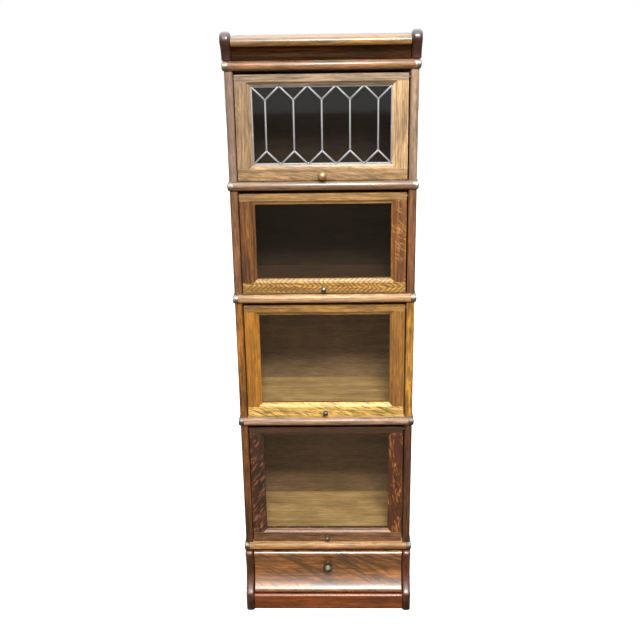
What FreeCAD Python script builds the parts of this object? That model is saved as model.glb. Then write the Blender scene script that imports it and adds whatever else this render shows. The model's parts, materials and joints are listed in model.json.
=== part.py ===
import FreeCAD, Part
import math
import os

# Sectional (barrister) bookcase: a base with a drawer, four glazed book sections and a crown, stacked.
# Millimetres. +X to the right, +Y to the back, +Z up. The origin is on the floor, under the middle
# of the overall footprint. Inside the functions y = 0 is the front edge of the case's side boards;
# export() moves every piece back by FRONT_PLANE_Y. Sections are numbered from the top down.

# ---- driving dimensions -------------------------------------------------------------------------

CASE_WIDTH = 456.0          # over the side boards
CASE_DEPTH = 292.0          # side boards, front edge to back edge
BOARD = 20.5                # side board thickness
BOARD_ROUNDING = 6.0        # radius on the side boards' front edges
SHELF_THICKNESS = 18.0
BACK_THICKNESS = 6.0
BACK_INSET = 6.0            # from the back panel's rear face to the side boards' back edges

BASE_HEIGHT = 183.0         # floor to the underside of the lowest section
SECTION_HEIGHTS = {1: 281.0, 2: 286.0, 3: 341.0, 4: 381.0}
SECTIONS = (1, 2, 3, 4)
LEADED_DOOR = 1

RAIL_RADIUS = 11.0          # half-round front rail at the foot of each section and of the crown
RAIL_RISE = 7.0             # rail's centre line above the joint between two units
BAND_RADIUS = 11.5          # metal band along the sides at each joint
BAND_PROUD = 4.0            # how far the band stands out from the side boards
BAND_RETURN = 11.0          # how far its front end laps over the rail, inside the case's width

DOOR_FRONT = 2.0            # door face behind the side boards' front edges
DOOR_THICKNESS = 20.0
DOOR_GAP_LEFT = 2.2
DOOR_GAP_RIGHT = 3.6
DOOR_FOOT_GAP = 1.2         # door's bottom edge above the shelf
DOOR_HEAD_GAP = 13.0        # door's top edge below the joint above
STILE_WIDTH = 37.0
TOP_RAIL_WIDTH = 27.0
BOTTOM_RAIL_WIDTH = 37.0
STICKING_WIDTH = 9.5        # sloping inner edge of the door frame
STICKING_DEPTH = 7.0
LIP = 9.0                   # wood in front of the glass
RABBET = 7.0
GLASS_THICKNESS = 3.0
GLASS_LAP = 6.0             # glass hidden behind the lip, on each side
STOP_THICKNESS = 6.0

CAME_WIDTH = 5.0            # lead came, across its flanges
CAME_FLANGE = 0.8
CAME_WEB = 1.6
CAME_BORDER = 9.5           # edge came, from the panel's edge inwards
CAME_COLUMNS = 5
CAME_ARM_SHARE = 0.175      # height of the pointed ends, as a share of the visible glass

PIVOT_DROP = 9.0            # door's pivot below its top edge
ROD_RADIUS = 2.5
ROD_CLEARANCE = 0.06
GROOVE_DEPTH = 6.0
GROOVE_HEIGHT = 8.0
SHOE_LENGTH = 14.0
SHOE_CLEARANCE = 0.25
SLIDE_END_GAP = 2.0         # left between the pushed-back door and whatever stops it
GUIDE_WIDTH = 14.0          # cleats that keep a pushed-back door level
GUIDE_LIFT = 1.0            # their underside above the pushed-back door
GUIDE_START = 28.0
GUIDE_END = 276.0
CROSS_RAIL_WIDTH = 40.0
CROSS_RAIL_THICKNESS = 9.0
CROSS_RAIL_FRONT = 30.0

KNOB_SHANK_RADIUS = 2.5
KNOB_SHANK_LENGTH = 12.0
KNOB_HEIGHT = 13.0          # above the door's bottom edge
KNOB_BALL_RADII = {1: 10.5, 2: 6.8, 3: 6.8, 4: 6.8}
DRAWER_KNOB_BALL_RADIUS = 13.0
DRAWER_KNOB_Z = 129.0

BASE_SIDE_THICKNESS = 23.0
PLINTH_HEIGHT = 46.0
PLINTH_FRONT = -27.0
PLINTH_THICKNESS = 20.0
PLINTH_ROUNDING = 8.0
DECK_THICKNESS = 12.0
DRAWER_GAP = 1.5            # beside the drawer front
DRAWER_BACK_FACE = 20.0     # rear face of the drawer front
DRAWER_SIDE_THICKNESS = 12.0
DRAWER_SIDE_GAP = 3.0
DRAWER_SIDE_BOTTOM = 57.0
DRAWER_SIDE_TOP = 158.0
DRAWER_END = 272.0
DRAWER_BOTTOM_THICKNESS = 5.0
DRAWER_BOTTOM_RISE = 4.0
RUNNER_GAP = 0.3
DRAWER_TRAVEL = 200.0

CROWN_END_THICKNESS = 25.0
CROWN_TOP_UNDERSIDE = 49.0  # above the joint under the crown
CROWN_TOP_THICKNESS = 22.0
CROWN_NOSE = -18.0
CROWN_BACK_OF_COVE = 16.0
CROWN_BAND_FRONT = -3.0     # flat band between the crown's rail and its hollow
CROWN_BAND_HEIGHT = 10.0
CROWN_HOLLOW_MIDDLE = (-3.6, 40.0)      # (y, z above the joint)
CROWN_HOLLOW_TOP = -9.0
CROWN_SCROLL_START = -4.0   # foot of the hollow under the crown end's ear
CROWN_EAR = ((-8.5, 65.0), 18.5)        # (y, z above the joint) of its centre, and its radius
CROWN_EAR_BLEND = 12.0      # radius where the ear runs out on the flat behind it
CROWN_END_ROUNDING = 9.0    # on the edges of the scroll
BASE_SIDE_ROUNDING = 8.0

# Scrolled fronts of the base, as (y, z) centres and radii: a rounded nose above, a hollow, a foot.
SIDE_NOSE = ((-4.0, 166.0), 12.0)
SIDE_FOOT = ((-19.0, 46.0), 15.0)
DRAWER_NOSE = ((-1.0, 165.0), 9.0)
DRAWER_LIP = ((-16.0, 58.0), 9.0)
HOLLOW_RADIUS = 90.0

# ---- values that follow ---------------------------------------------------------------------------

HALF = CASE_WIDTH / 2
INSIDE = HALF - BOARD
BACK_FACE = CASE_DEPTH - BACK_INSET - BACK_THICKNESS
FRONT_REACH = SIDE_FOOT[0][0] - SIDE_FOOT[1]
FRONT_PLANE_Y = -(CASE_DEPTH + FRONT_REACH) / 2
DOOR_BACK = DOOR_FRONT + DOOR_THICKNESS
GLASS_FRONT = DOOR_FRONT + LIP
PIVOT_Y = DOOR_FRONT + DOOR_THICKNESS / 2
DOOR_LEFT = -INSIDE + DOOR_GAP_LEFT
DOOR_RIGHT = INSIDE - DOOR_GAP_RIGHT
DRAWER_HALF = INSIDE - DRAWER_GAP

SECTION_FLOORS = {}
level = BASE_HEIGHT
for number in reversed(SECTIONS):
    SECTION_FLOORS[number] = level
    level += SECTION_HEIGHTS[number]
CROWN_FLOOR = level
JOINT_LEVELS = sorted(SECTION_FLOORS.values()) + [CROWN_FLOOR]


def section_top(number):
    return SECTION_FLOORS[number] + SECTION_HEIGHTS[number]


def door_bottom(number):
    return SECTION_FLOORS[number] + SHELF_THICKNESS + DOOR_FOOT_GAP


def door_top(number):
    return section_top(number) - DOOR_HEAD_GAP


def pivot_z(number):
    return door_top(number) - PIVOT_DROP


def slide_travel(number):
    """A raised door goes back until its knob meets the rail above it, or its top edge the back."""
    reach = pivot_z(number) - door_bottom(number) - KNOB_HEIGHT
    knob_room = reach - PIVOT_Y - BAND_RADIUS - KNOB_BALL_RADII[number]
    back_room = BACK_FACE - PIVOT_Y - PIVOT_DROP
    return min(knob_room, back_room) - SLIDE_END_GAP


# ---- small building blocks ------------------------------------------------------------------------

def vector(x, y, z):
    return FreeCAD.Vector(x, y, z)


def box(x0, x1, y0, y1, z0, z1):
    return Part.makeBox(x1 - x0, y1 - y0, z1 - z0, vector(x0, y0, z0))


def mirrored(shape):
    return shape.mirror(vector(0, 0, 0), vector(1, 0, 0))


def face(place, start, *steps):
    """Closed outline: a point adds a line to it, and a pair of points an arc through the first."""
    edges = []
    here = start
    for step in steps + (start,):
        if isinstance(step[0], tuple):
            end = step[1]
            edges.append(Part.Arc(place(*here), place(*step[0]), place(*end)).toShape())
        else:
            end = step
            edges.append(Part.LineSegment(place(*here), place(*end)).toShape())
        here = end
    return Part.Face(Part.Wire(edges))


def along_x(x0, x1, start, *steps):
    """A (y, z) outline run from x0 to x1."""
    return face(lambda y, z: vector(x0, y, z), start, *steps).extrude(vector(x1 - x0, 0, 0))


def along_y(y0, y1, start, *steps):
    """An (x, z) outline run from y0 to y1."""
    return face(lambda x, z: vector(x, y0, z), start, *steps).extrude(vector(0, y1 - y0, 0))


def along_z(z0, z1, start, *steps):
    """An (x, y) outline run from z0 to z1."""
    return face(lambda x, y: vector(x, y, z0), start, *steps).extrude(vector(0, 0, z1 - z0))


def rod(x0, x1, y, z, radius):
    return Part.makeCylinder(radius, x1 - x0, vector(x0, y, z), vector(1, 0, 0))


def scroll(nose, foot):
    """Nose, hollow and foot arcs that meet without a corner: the points where they meet, the middle
    of each arc, and the hollow's centre."""
    (nose_centre, nose_radius), (foot_centre, foot_radius) = nose, foot
    across_y = foot_centre[0] - nose_centre[0]
    across_z = foot_centre[1] - nose_centre[1]
    span = math.hypot(across_y, across_z)
    to_nose = HOLLOW_RADIUS + nose_radius
    to_foot = HOLLOW_RADIUS + foot_radius
    reach = (to_nose ** 2 - to_foot ** 2 + span ** 2) / (2 * span)
    height = math.sqrt(to_nose ** 2 - reach ** 2)
    unit = (across_y / span, across_z / span)
    hollow = (nose_centre[0] + reach * unit[0] + height * unit[1],
              nose_centre[1] + reach * unit[1] - height * unit[0])

    def towards_hollow(centre, radius):
        distance = math.dist(centre, hollow)
        return (centre[0] + radius * (hollow[0] - centre[0]) / distance,
                centre[1] + radius * (hollow[1] - centre[1]) / distance)

    return {
        "nose_top": (nose_centre[0], nose_centre[1] + nose_radius),
        "nose_front": (nose_centre[0] - nose_radius, nose_centre[1]),
        "nose_end": towards_hollow(nose_centre, nose_radius),
        "waist": (hollow[0] + HOLLOW_RADIUS, hollow[1]),
        "foot_start": towards_hollow(foot_centre, foot_radius),
        "foot_front": (foot_centre[0] - foot_radius, foot_centre[1]),
        "foot_bottom": (foot_centre[0], foot_centre[1] - foot_radius),
        "hollow": hollow,
    }


# ---- the case ---------------------------------------------------------------------------------------

def side_board(number):
    """Right-hand side board, with the groove that a door's shoe runs in."""
    low = SECTION_FLOORS[number]
    board = box(INSIDE, HALF, 0, CASE_DEPTH, low, section_top(number))
    front_edges = [edge for edge in board.Edges
                   if edge.BoundBox.YMax < BOARD_ROUNDING and edge.BoundBox.ZLength > BOARD]
    board = board.makeFillet(BOARD_ROUNDING, front_edges)
    half_shoe = SHOE_LENGTH / 2 + SHOE_CLEARANCE
    middle = pivot_z(number)
    groove = box(INSIDE, INSIDE + GROOVE_DEPTH, PIVOT_Y - half_shoe,
                 PIVOT_Y + slide_travel(number) + half_shoe,
                 middle - GROOVE_HEIGHT / 2, middle + GROOVE_HEIGHT / 2)
    return board.cut(groove)


def shelf(number):
    low = SECTION_FLOORS[number]
    return box(-INSIDE, INSIDE, 0, BACK_FACE, low, low + SHELF_THICKNESS)


def front_rail(joint):
    """Half-round rail across the front, between the two bands' ends."""
    end = HALF - BAND_RETURN
    middle = joint + RAIL_RISE
    return along_x(-end, end, (0, middle - RAIL_RADIUS),
                   ((-RAIL_RADIUS, middle), (0, middle + RAIL_RADIUS)))


def joint_band(joint):
    """Right-hand metal band: a rounded strip along the side, turned in over the rail's end."""
    middle = joint + RAIL_RISE
    low, high = middle - BAND_RADIUS, middle + BAND_RADIUS
    bulge = ((HALF + BAND_PROUD, middle), (HALF, high))
    strip = along_y(0, CASE_DEPTH, (HALF, low), bulge)
    inner = HALF - BAND_RETURN
    corner = along_y(-BAND_RADIUS, 0, (inner, low), (HALF, low), bulge, (inner, high))
    nose = along_x(inner, HALF + BAND_PROUD, (0, low), ((-BAND_RADIUS, middle), (0, high)))
    return strip.fuse(corner.common(nose)).removeSplitter()


def back_panel(low, high):
    return box(-INSIDE, INSIDE, BACK_FACE, BACK_FACE + BACK_THICKNESS, low, high)


def cross_rails(high, half_width, thickness, front):
    """Front and back rails that tie the open top of a unit together."""
    back = GUIDE_END - CROSS_RAIL_WIDTH
    return [box(-half_width, half_width, y, y + CROSS_RAIL_WIDTH, high - thickness, high)
            for y in (front, back)]


def door_guides(number):
    """Cleats above a pushed-back door, screwed to the side boards."""
    high = section_top(number)
    low = pivot_z(number) + DOOR_THICKNESS / 2 + GUIDE_LIFT
    cleat = box(INSIDE - GUIDE_WIDTH, INSIDE, GUIDE_START, GUIDE_END, low, high)
    return [cleat, mirrored(cleat)]


# ---- doors ------------------------------------------------------------------------------------------

def member_outline(width):
    """Section of a door member, as distances from its outer edge and depths from the front plane."""
    return [(0, DOOR_FRONT),
            (width - STICKING_WIDTH, DOOR_FRONT),
            (width, DOOR_FRONT + STICKING_DEPTH),
            (width, GLASS_FRONT),
            (width - RABBET, GLASS_FRONT),
            (width - RABBET, DOOR_BACK),
            (0, DOOR_BACK)]


def corner_cut(number, right, top, points):
    """Prism through a door corner, from distances in from the door's outer edges."""
    edge_x = DOOR_RIGHT if right else DOOR_LEFT
    edge_z = door_top(number) if top else door_bottom(number)
    turn_x = -1 if right else 1
    turn_z = -1 if top else 1
    placed = [(edge_x + turn_x * x, edge_z + turn_z * z) for x, z in points]
    return along_y(0, DOOR_BACK + 1, placed[0], *placed[1:])


def rail_cut(rail_width):
    """What a stile takes away from a rail: square behind the face, mitred along the slope."""
    shoulder = STILE_WIDTH - STICKING_WIDTH
    meet = rail_width - STICKING_WIDTH
    past = STICKING_WIDTH + 1
    return [(-1, meet), (shoulder, meet), (shoulder + past, meet + past), (-1, meet + past)]


def stile_cut(rail_width):
    """The other side of the same mitre."""
    shoulder = STILE_WIDTH - STICKING_WIDTH
    meet = rail_width - STICKING_WIDTH
    past = STICKING_WIDTH + 1
    return [(shoulder, meet), (shoulder + past, meet + past), (shoulder + past, meet)]


def rod_bore(number):
    return rod(DOOR_LEFT - 1, DOOR_RIGHT + 1, PIVOT_Y, pivot_z(number), ROD_RADIUS + ROD_CLEARANCE)


def door_stiles(number):
    """Uprights that stand between the two rails."""
    low = door_bottom(number) + BOTTOM_RAIL_WIDTH - STICKING_WIDTH
    high = door_top(number) - TOP_RAIL_WIDTH + STICKING_WIDTH
    outline = member_outline(STILE_WIDTH)
    stiles = []
    for right in (False, True):
        edge, turn = (DOOR_RIGHT, -1) if right else (DOOR_LEFT, 1)
        points = [(edge + turn * distance, depth) for distance, depth in outline]
        stile = along_z(low, high, points[0], *points[1:])
        for top, width in ((False, BOTTOM_RAIL_WIDTH), (True, TOP_RAIL_WIDTH)):
            stile = stile.cut(corner_cut(number, right, top, stile_cut(width)))
        stiles.append(stile)
    return stiles


def door_rails(number):
    """Bottom and top rails, as long as the door is wide. The top one takes the rod."""
    rails = []
    for top, width in ((False, BOTTOM_RAIL_WIDTH), (True, TOP_RAIL_WIDTH)):
        edge, turn = (door_top(number), -1) if top else (door_bottom(number), 1)
        points = [(depth, edge + turn * distance) for distance, depth in member_outline(width)]
        rail = along_x(DOOR_LEFT, DOOR_RIGHT, points[0], *points[1:])
        for right in (False, True):
            rail = rail.cut(corner_cut(number, right, top, rail_cut(width)))
        if top:
            rail = rail.cut(rod_bore(number))
        else:
            rail = rail.cut(knob_hole(door_middle(), DOOR_FRONT, door_bottom(number) + KNOB_HEIGHT))
        rails.append(rail)
    return rails


def door_middle():
    return (DOOR_LEFT + DOOR_RIGHT) / 2


def sight_opening(number):
    """Left, right, bottom and top edges of the glass that shows."""
    return (DOOR_LEFT + STILE_WIDTH, DOOR_RIGHT - STILE_WIDTH,
            door_bottom(number) + BOTTOM_RAIL_WIDTH, door_top(number) - TOP_RAIL_WIDTH)


def panel_thickness(number):
    return GLASS_THICKNESS + (2 * CAME_FLANGE if number == LEADED_DOOR else 0)


def door_stops(number):
    """Four strips that hold the glass in its rabbet."""
    left, right, low, high = sight_opening(number)
    front = GLASS_FRONT + panel_thickness(number)
    back = front + STOP_THICKNESS
    return [box(left - RABBET, left, front, back, low - RABBET, high + RABBET),
            box(right, right + RABBET, front, back, low - RABBET, high + RABBET),
            box(left, right, front, back, low - RABBET, low),
            box(left, right, front, back, high, high + RABBET)]


def glass_sheet(number, front):
    left, right, low, high = sight_opening(number)
    return box(left - GLASS_LAP, right + GLASS_LAP, front, front + GLASS_THICKNESS,
               low - GLASS_LAP, high + GLASS_LAP)


def came_segments(number):
    """Centre lines of the came in the visible glass, as pairs of (x, z) points: one upright in the
    middle of each column, parting at both ends into two arms that reach the column's corners."""
    left, right, low, high = sight_opening(number)
    column = (right - left) / CAME_COLUMNS
    arm = (high - low) * CAME_ARM_SHARE
    segments = []
    for index in range(CAME_COLUMNS):
        x = left + (index + 0.5) * column
        upper, lower = (x, high - arm), (x, low + arm)
        segments.append((lower, upper))
        for side in (-column / 2, column / 2):
            segments.append((upper, (x + side, high)))
            segments.append((lower, (x + side, low)))
    return segments


def came_bar(start, end, width, front, back):
    """Straight bar between two (x, z) points, with round ends."""
    length = math.dist(start, end)
    side_x = -(end[1] - start[1]) / length * width / 2
    side_z = (end[0] - start[0]) / length * width / 2
    bar = along_y(front, back, (start[0] + side_x, start[1] + side_z),
                  (end[0] + side_x, end[1] + side_z), (end[0] - side_x, end[1] - side_z),
                  (start[0] - side_x, start[1] - side_z))
    ends = [Part.makeCylinder(width / 2, back - front, vector(x, front, z), vector(0, 1, 0))
            for x, z in (start, end)]
    return bar.multiFuse(ends)


def came_layer(number, width, border, front, back):
    """One layer of the came lattice with its border, cut to the panel's outline."""
    left, right, low, high = sight_opening(number)
    outer = box(left - GLASS_LAP, right + GLASS_LAP, front, back, low - GLASS_LAP, high + GLASS_LAP)
    inset = border - GLASS_LAP
    inner = box(left + inset, right - inset, front - 1, back + 1, low + inset, high - inset)
    bars = [came_bar(start, end, width, front, back) for start, end in came_segments(number)]
    return outer.cut(inner).multiFuse([bar.common(outer) for bar in bars]).removeSplitter()


def lead_came(number):
    web_front = GLASS_FRONT + CAME_FLANGE
    web_back = web_front + GLASS_THICKNESS
    front = came_layer(number, CAME_WIDTH, CAME_BORDER, GLASS_FRONT, web_front)
    back = came_layer(number, CAME_WIDTH, CAME_BORDER, web_back, web_back + CAME_FLANGE)
    return front.multiFuse([came_web(number), back]).removeSplitter()


def came_web(number):
    web_front = GLASS_FRONT + CAME_FLANGE
    border = GLASS_LAP + CAME_WEB / 2
    return came_layer(number, CAME_WEB, border, web_front, web_front + GLASS_THICKNESS)


def door_glass(number):
    """A single sheet, or the separate panes between the cames."""
    if number != LEADED_DOOR:
        return [glass_sheet(number, GLASS_FRONT)]
    return glass_sheet(number, GLASS_FRONT + CAME_FLANGE).cut(came_web(number)).Solids


def pivot_carriage(number):
    """Steel rod through the door's top rail, with a shoe on each end that runs in a groove."""
    middle = pivot_z(number)
    inner = INSIDE + SHOE_CLEARANCE
    outer = INSIDE + GROOVE_DEPTH - SHOE_CLEARANCE
    half_height = GROOVE_HEIGHT / 2 - SHOE_CLEARANCE
    shoe = box(inner, outer, PIVOT_Y - SHOE_LENGTH / 2, PIVOT_Y + SHOE_LENGTH / 2,
               middle - half_height, middle + half_height)
    shaft = rod(-outer, outer, PIVOT_Y, middle, ROD_RADIUS)
    shoe = shoe.cut(shaft)
    return [shaft, shoe, mirrored(shoe)]


def knob(x, surface, z, ball):
    """Turned knob: collar, neck and ball in front of the surface, and a shank into the wood."""
    collar = 0.68 * ball
    neck = 0.42 * ball
    collar_front = surface - 0.16 * ball
    neck_start = collar_front - 0.12 * ball
    centre = surface - 1.3 * ball
    neck_end = centre + math.sqrt(ball ** 2 - neck ** 2)
    outline = face(lambda radius, y: vector(x + radius, y, z),
                   (0, surface + KNOB_SHANK_LENGTH),
                   (KNOB_SHANK_RADIUS, surface + KNOB_SHANK_LENGTH),
                   (KNOB_SHANK_RADIUS, surface),
                   (collar, surface),
                   (collar, collar_front),
                   (neck, neck_start),
                   (neck, neck_end),
                   ((ball, centre), (0, centre - ball)))
    return outline.revolve(vector(x, 0, z), vector(0, 1, 0), 360)


def knob_hole(x, surface, z):
    return Part.makeCylinder(KNOB_SHANK_RADIUS, KNOB_SHANK_LENGTH, vector(x, surface, z),
                             vector(0, 1, 0))


# ---- base and drawer ----------------------------------------------------------------------------------

def base_side():
    """Right-hand end of the base, with its scrolled front and a rebate under the lowest band."""
    curve = scroll(SIDE_NOSE, SIDE_FOOT)
    end = along_x(INSIDE, INSIDE + BASE_SIDE_THICKNESS,
                  (CASE_DEPTH, 0),
                  (FRONT_REACH, 0),
                  curve["foot_front"],
                  (arc_middle(SIDE_FOOT, curve["foot_front"], curve["foot_start"]),
                   curve["foot_start"]),
                  (curve["waist"], curve["nose_end"]),
                  (curve["nose_front"], curve["nose_top"]),
                  (0, curve["nose_top"][1]),
                  (0, BASE_HEIGHT),
                  (CASE_DEPTH, BASE_HEIGHT))
    scroll_edges = [edge for edge in end.Edges
                    if edge.BoundBox.XLength < 1 and edge.BoundBox.YMax < SIDE_NOSE[0][0] + 1
                    and edge.BoundBox.ZLength > 1]
    end = end.makeFillet(BASE_SIDE_ROUNDING, scroll_edges)
    rebate_floor = BASE_HEIGHT + RAIL_RISE - BAND_RADIUS
    rebate = box(HALF, INSIDE + BASE_SIDE_THICKNESS + 1, -1, CASE_DEPTH + 1, rebate_floor,
                 BASE_HEIGHT + 1)
    return end.cut(rebate)


def arc_middle(circle, start, end):
    """Point half way round a circle's arc between two of its points."""
    (centre_y, centre_z), radius = circle
    middle_y = (start[0] + end[0]) / 2 - centre_y
    middle_z = (start[1] + end[1]) / 2 - centre_z
    length = math.hypot(middle_y, middle_z)
    return (centre_y + radius * middle_y / length, centre_z + radius * middle_z / length)


def plinth():
    back = PLINTH_FRONT + PLINTH_THICKNESS
    centre = (PLINTH_FRONT + PLINTH_ROUNDING, PLINTH_HEIGHT - PLINTH_ROUNDING)
    start = (PLINTH_FRONT, centre[1])
    end = (centre[0], PLINTH_HEIGHT)
    return along_x(-INSIDE, INSIDE, (back, 0), (PLINTH_FRONT, 0), start,
                   (arc_middle((centre, PLINTH_ROUNDING), start, end), end),
                   (back, PLINTH_HEIGHT))


def base_deck():
    return box(-INSIDE, INSIDE, PLINTH_FRONT + PLINTH_THICKNESS, BACK_FACE,
               PLINTH_HEIGHT - DECK_THICKNESS, PLINTH_HEIGHT)


def drawer_runners():
    side_inner = INSIDE - DRAWER_SIDE_GAP - DRAWER_SIDE_THICKNESS
    runner = box(side_inner, INSIDE, DRAWER_BACK_FACE + 2, GUIDE_END,
                 PLINTH_HEIGHT, DRAWER_SIDE_BOTTOM - RUNNER_GAP)
    return [runner, mirrored(runner)]


def drawer_front():
    """Scrolled front with a flat seat and a hole for its knob."""
    curve = scroll(DRAWER_NOSE, DRAWER_LIP)
    front = along_x(-DRAWER_HALF, DRAWER_HALF,
                    (DRAWER_BACK_FACE, curve["foot_bottom"][1]),
                    curve["foot_bottom"],
                    (curve["foot_front"], curve["foot_start"]),
                    (curve["waist"], curve["nose_end"]),
                    (curve["nose_front"], curve["nose_top"]),
                    (DRAWER_BACK_FACE, curve["nose_top"][1]))
    surface = drawer_surface()
    seat = Part.makeCylinder(DRAWER_KNOB_BALL_RADIUS * 0.7, BOARD,
                             vector(0, surface - BOARD, DRAWER_KNOB_Z), vector(0, 1, 0))
    return front.cut(seat).cut(knob_hole(0, surface, DRAWER_KNOB_Z))


def drawer_surface():
    """Depth of the drawer front's hollow at the knob."""
    hollow_y, hollow_z = scroll(DRAWER_NOSE, DRAWER_LIP)["hollow"]
    return hollow_y + math.sqrt(HOLLOW_RADIUS ** 2 - (DRAWER_KNOB_Z - hollow_z) ** 2)


def drawer_sides():
    outer = INSIDE - DRAWER_SIDE_GAP
    side = box(outer - DRAWER_SIDE_THICKNESS, outer, DRAWER_BACK_FACE, DRAWER_END,
               DRAWER_SIDE_BOTTOM, DRAWER_SIDE_TOP)
    return [side, mirrored(side)]


def drawer_floor_level():
    return DRAWER_SIDE_BOTTOM + DRAWER_BOTTOM_RISE + DRAWER_BOTTOM_THICKNESS


def drawer_bottom():
    inner = INSIDE - DRAWER_SIDE_GAP - DRAWER_SIDE_THICKNESS
    high = drawer_floor_level()
    return box(-inner, inner, DRAWER_BACK_FACE, DRAWER_END, high - DRAWER_BOTTOM_THICKNESS, high)


def drawer_back():
    inner = INSIDE - DRAWER_SIDE_GAP - DRAWER_SIDE_THICKNESS
    return box(-inner, inner, DRAWER_END - DRAWER_SIDE_THICKNESS, DRAWER_END,
               drawer_floor_level(), DRAWER_SIDE_TOP)


# ---- crown --------------------------------------------------------------------------------------------

def above_joint(points):
    """Arc points whose heights are given above the crown's joint."""
    return tuple((y, CROWN_FLOOR + z) for y, z in points)


def crown_end_outline():
    """Side view: a hollow above the band, then a round ear that falls back to the top board's level.
    Neighbouring arcs touch without a corner, so each centre comes from the sum of two radii."""
    (ear_y, ear_rise), radius = CROWN_EAR
    ear = (ear_y, CROWN_FLOOR + ear_rise)
    foot = (CROWN_SCROLL_START, crown_clear_level())
    top = crown_top_level()
    across = ear_y - CROWN_SCROLL_START
    up = ear[1] - foot[1]
    hollow_radius = (across ** 2 + up ** 2 - radius ** 2) / (2 * (radius - across))
    hollow = (foot[0] - hollow_radius, foot[1])
    neck = between(ear, hollow, radius)
    reach = radius + CROWN_EAR_BLEND
    blend_z = top + CROWN_EAR_BLEND
    blend = (ear_y + math.sqrt(reach ** 2 - (blend_z - ear[1]) ** 2), blend_z)
    nape = between(ear, blend, radius)
    crest = (ear_y, ear[1] + radius)
    landing = (blend[0], top)
    return [(CROWN_SCROLL_START, CROWN_FLOOR),
            foot,
            (arc_middle((hollow, hollow_radius), foot, neck), neck),
            ((ear_y - radius, ear[1]), crest),
            (arc_middle((ear, radius), crest, nape), nape),
            (arc_middle((blend, CROWN_EAR_BLEND), nape, landing), landing),
            (CASE_DEPTH, top),
            (CASE_DEPTH, CROWN_FLOOR)]


def between(centre, other, distance):
    """Point at a distance from one centre towards another."""
    share = distance / math.dist(centre, other)
    return (centre[0] + share * (other[0] - centre[0]), centre[1] + share * (other[1] - centre[1]))


def crown_clear_level():
    return CROWN_FLOOR + RAIL_RISE + BAND_RADIUS + 0.5


def crown_top_level():
    return CROWN_FLOOR + CROWN_TOP_UNDERSIDE + CROWN_TOP_THICKNESS


def crown_end():
    """Right-hand end of the crown, round-edged along its scroll and its outer top edge."""
    outline = crown_end_outline()
    outer = INSIDE + CROWN_END_THICKNESS
    end = along_x(INSIDE, outer, outline[0], *outline[1:])
    landing = outline[5][1][0]
    top = crown_top_level()
    scroll_edges = [edge for edge in end.Edges
                    if edge.BoundBox.XLength < 1 and edge.BoundBox.ZMax > CROWN_FLOOR + 1
                    and edge.BoundBox.YMin < CASE_DEPTH - 1]
    end = end.makeFillet(CROWN_END_ROUNDING, scroll_edges)
    square_edge = box(INSIDE, INSIDE + CROWN_END_ROUNDING, landing, CASE_DEPTH,
                      top - CROWN_END_ROUNDING, top)
    clear = crown_clear_level()
    front = box(INSIDE - 1, outer + 1, CROWN_SCROLL_START - 1, 0, CROWN_FLOOR - 1, clear)
    rebate = box(HALF, outer + 1, -1, CASE_DEPTH + 1, CROWN_FLOOR - 1, clear)
    return end.fuse(square_edge).removeSplitter().cut(front).cut(rebate)


def crown_cove():
    """Front of the crown: a flat band above the rail and a hollow under the top board's nose."""
    low = CROWN_FLOOR
    rail_top = low + RAIL_RISE + RAIL_RADIUS
    high = low + CROWN_TOP_UNDERSIDE
    hollow = above_joint([CROWN_HOLLOW_MIDDLE]) + ((CROWN_HOLLOW_TOP, high),)
    return along_x(-INSIDE, INSIDE,
                   (CROWN_BACK_OF_COVE, low),
                   (0, low),
                   (0, rail_top),
                   (CROWN_BAND_FRONT, rail_top),
                   (CROWN_BAND_FRONT, rail_top + CROWN_BAND_HEIGHT),
                   hollow,
                   (CROWN_BACK_OF_COVE, high))


def crown_top_board():
    low = CROWN_FLOOR + CROWN_TOP_UNDERSIDE
    round_start = CROWN_NOSE + CROWN_TOP_THICKNESS / 2
    high = crown_top_level()
    return along_x(-INSIDE, INSIDE,
                   (BACK_FACE + BACK_THICKNESS, low),
                   (round_start, low),
                   ((CROWN_NOSE, (low + high) / 2), (round_start, high)),
                   (BACK_FACE + BACK_THICKNESS, high))


# ---- all pieces -----------------------------------------------------------------------------------------

def section_nodes(number):
    name = "section%d" % number
    right = side_board(number)
    return {
        name + "_side_right": [right],
        name + "_side_left": [mirrored(right)],
        name + "_shelf": [shelf(number)],
        name + "_front_rail": [front_rail(SECTION_FLOORS[number])],
    }


def door_nodes(number):
    name = "door%d" % number
    knob_z = door_bottom(number) + KNOB_HEIGHT
    nodes = {
        name + "_stiles": door_stiles(number),
        name + "_rails": door_rails(number),
        name + "_glass": door_glass(number),
        name + "_glass_stops": door_stops(number),
        name + "_knob": [knob(door_middle(), DOOR_FRONT, knob_z, KNOB_BALL_RADII[number])],
        name + "_pivot_carriage": pivot_carriage(number),
    }
    if number == LEADED_DOOR:
        nodes[name + "_lead_came"] = [lead_came(number)]
    return nodes


def case_nodes():
    bands = [joint_band(joint) for joint in JOINT_LEVELS]
    panels = [back_panel(PLINTH_HEIGHT, BASE_HEIGHT)]
    panels += [back_panel(SECTION_FLOORS[number], section_top(number)) for number in SECTIONS]
    panels += [back_panel(CROWN_FLOOR, CROWN_FLOOR + CROWN_TOP_UNDERSIDE)]
    rails = cross_rails(BASE_HEIGHT, INSIDE, BASE_HEIGHT - DRAWER_NOSE[0][1], CROSS_RAIL_FRONT)
    guides = []
    for number in SECTIONS:
        rails += cross_rails(section_top(number), INSIDE - GUIDE_WIDTH, CROSS_RAIL_THICKNESS,
                             CROSS_RAIL_FRONT)
        guides += door_guides(number)
    return {
        "joint_bands": bands + [mirrored(band) for band in bands],
        "back_panels": panels,
        "top_cross_rails": rails,
        "door_guides": guides,
    }


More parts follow.
